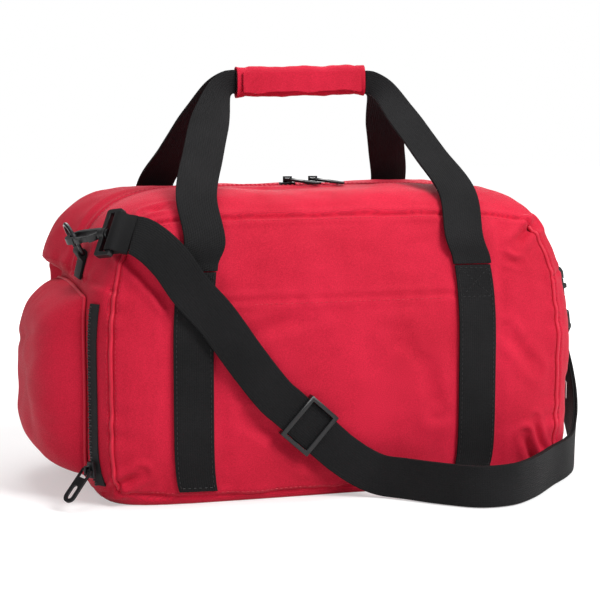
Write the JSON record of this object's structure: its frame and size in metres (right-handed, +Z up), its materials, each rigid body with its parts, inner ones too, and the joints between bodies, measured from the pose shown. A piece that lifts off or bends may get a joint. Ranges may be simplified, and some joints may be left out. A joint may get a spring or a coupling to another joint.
{
  "type": "sports holdall",
  "caption": "Soft rectangular sports holdall with a two-way top zip, a zipped shoe pocket on one end, webbing carry handles joined by a wrap grip, and a clip-on adjustable shoulder strap.",
  "frame": {"origin": "centre of the flat base, on the surface that the bag stands on", "axes": "+X along the bag's length towards the end without the shoe pocket, -Y towards the front panel with the shoulder strap, +Z up"},
  "size_m": [0.544, 0.3433, 0.4022],
  "materials": {
    "red_cloth": "woven polyester",
    "black_webbing": "woven webbing",
    "zip_tape": "woven tape",
    "zip_coil": "nylon coil",
    "black_metal": "black satin enamel",
    "black_plastic": "moulded satin",
    "label": "printed satin tape, left bare",
    "lining": "plain lining",
    "board": "stiff board"
  },
  "bodies": {
    "bag": {"front_panel": "red_cloth", "rear_panel": "red_cloth", "left_end_panel": "red_cloth", "right_end_panel": "red_cloth", "base_panel": "red_cloth", "top_front_strip": "red_cloth", "top_rear_strip": "red_cloth", "top_zip_tape_front": "zip_tape", "top_zip_coil_front": "zip_coil", "top_zip_tape_rear": "zip_tape", "top_zip_coil_rear": "zip_coil", "shoe_pocket": "red_cloth", "shoe_zip_tape": "zip_tape", "shoe_zip_coil": "zip_coil", "shoe_divider": "lining", "base_board": "board", "piping_left_front": "red_cloth", "piping_left_rear": "red_cloth", "piping_right_front": "red_cloth", "piping_right_rear": "red_cloth", "care_label": "label", "sewn_web_front_left": "black_webbing", "sewn_web_front_right": "black_webbing", "sewn_web_rear_left": "black_webbing", "sewn_web_rear_right": "black_webbing", "ring_tab_left": "black_webbing", "ring_tab_right": "black_webbing", "shoulder_strap": "black_webbing", "strap_return": "black_webbing", "strap_return_end": "black_webbing", "strap_loop_left": "black_webbing", "strap_loop_right": "black_webbing"},
    "handle": {"leg_front_left": "black_webbing", "leg_front_right": "black_webbing", "leg_rear_left": "black_webbing", "leg_rear_right": "black_webbing", "grip_web_front": "black_webbing", "grip_web_rear": "black_webbing", "grip_wrap": "red_cloth"},
    "flap": {"grip_flap": "red_cloth"},
    "zip_slider_left": {"top_slider_left": "black_metal"},
    "zip_slider_right": {"top_slider_right": "black_metal"},
    "zip_pull_left": {"top_pull_left": "black_metal"},
    "zip_pull_right": {"top_pull_right": "black_metal"},
    "shoe_zip_slider": {"shoe_slider": "black_metal"},
    "shoe_zip_pull": {"shoe_pull": "black_metal"},
    "ring_left": {"d_ring_left": "black_metal"},
    "ring_right": {"d_ring_right": "black_metal"},
    "frame_left": {"hook_frame_left": "black_plastic"},
    "frame_right": {"hook_frame_right": "black_plastic"},
    "snap_left": {"hook_left": "black_plastic"},
    "snap_right": {"hook_right": "black_plastic"},
    "gate_left": {"hook_gate_left": "black_plastic"},
    "gate_right": {"hook_gate_right": "black_plastic"},
    "adjuster": {"tri_glide": "black_plastic"}
  },
  "joints": [
    {"name": "handle_swing", "type": "hinge", "parent": "bag", "child": "handle", "pos_m": [0, 0, 0.217], "axis": [1, 0, 0], "range_deg": [-12, 12], "deforming": ["leg_front_left", "leg_front_right", "leg_rear_left", "leg_rear_right"]},
    {"name": "grip_flap_open", "type": "hinge", "parent": "handle", "child": "flap", "pos_m": [0, -0.01015, 0.39545], "axis": [-1, 0, 0], "range_deg": [0, 150]},
    {"name": "top_zip_left", "type": "slide", "parent": "bag", "child": "zip_slider_left", "axis": [-1, 0, 0], "range_m": [0, 0.11]},
    {"name": "top_zip_right", "type": "slide", "parent": "bag", "child": "zip_slider_right", "axis": [1, 0, 0], "range_m": [0, 0.11]},
    {"name": "top_pull_left_lift", "type": "hinge", "parent": "zip_slider_left", "child": "zip_pull_left", "pos_m": [-0.013, 0, 0.2907], "axis": [-0.6442, -0.7648, 0], "range_deg": [0, 110]},
    {"name": "top_pull_right_lift", "type": "hinge", "parent": "zip_slider_right", "child": "zip_pull_right", "pos_m": [0.013, 0, 0.2907], "axis": [-0.6442, -0.7648, 0], "range_deg": [0, 110]},
    {"name": "shoe_zip", "type": "slide", "parent": "bag", "child": "shoe_zip_slider", "axis": [-0.0777, -0.0379, 0.9963], "range_m": [0, 0.045]},
    {"name": "shoe_pull_lift", "type": "hinge", "parent": "shoe_zip_slider", "child": "shoe_zip_pull", "pos_m": [-0.23205, -0.10987, 0.03534], "axis": [0.513, -0.8492, -0.1256], "range_deg": [-80, 12]},
    {"name": "ring_left_tilt", "type": "hinge", "parent": "bag", "child": "ring_left", "pos_m": [-0.22527, -0.04201, 0.22774], "axis": [0, 1, 0], "range_deg": [0, 6]},
    {"name": "ring_right_tilt", "type": "hinge", "parent": "bag", "child": "ring_right", "pos_m": [0.24702, -0.02, 0.21335], "axis": [0, 1, 0], "range_deg": [0, 3]},
    {"name": "frame_left_tilt", "type": "hinge", "parent": "bag", "child": "frame_left", "pos_m": [-0.20175, -0.10464, 0.25011], "axis": [0.3629, 0.4069, 0.8383], "range_deg": [-2, 0]},
    {"name": "frame_right_tilt", "type": "hinge", "parent": "bag", "child": "frame_right", "pos_m": [0.27258, -0.02, 0.13867], "axis": [0, 1, 0], "range_deg": [-1, 0]},
    {"name": "snap_left_swivel", "type": "hinge", "parent": "frame_left", "child": "snap_left", "pos_m": [-0.20982, -0.09361, 0.24825], "axis": [-0.5849, 0.7998, -0.135], "range_deg": [-4, 8]},
    {"name": "snap_right_swivel", "type": "hinge", "parent": "frame_right", "child": "snap_right", "pos_m": [0.27092, -0.02, 0.15237], "axis": [-0.12, 0, 0.9928], "range_deg": [-6, 6]},
    {"name": "gate_left_open", "type": "hinge", "parent": "snap_left", "child": "gate_left", "pos_m": [-0.22492, -0.08518, 0.24324], "axis": [-0.3704, -0.1153, 0.9217], "range_deg": [-30, 0], "stiffness_Nm_per_rad": 0.02},
    {"name": "gate_right_open", "type": "hinge", "parent": "snap_right", "child": "gate_right", "pos_m": [0.27666, -0.02, 0.16943], "axis": [0, 1, 0], "range_deg": [-30, 0], "stiffness_Nm_per_rad": 0.02},
    {"name": "strap_adjust", "type": "slide", "parent": "bag", "child": "adjuster", "axis": [0.7452, 0, -0.6669], "range_m": [-0.008, 0.008], "deforming": ["strap_return_end"]}
  ]
}
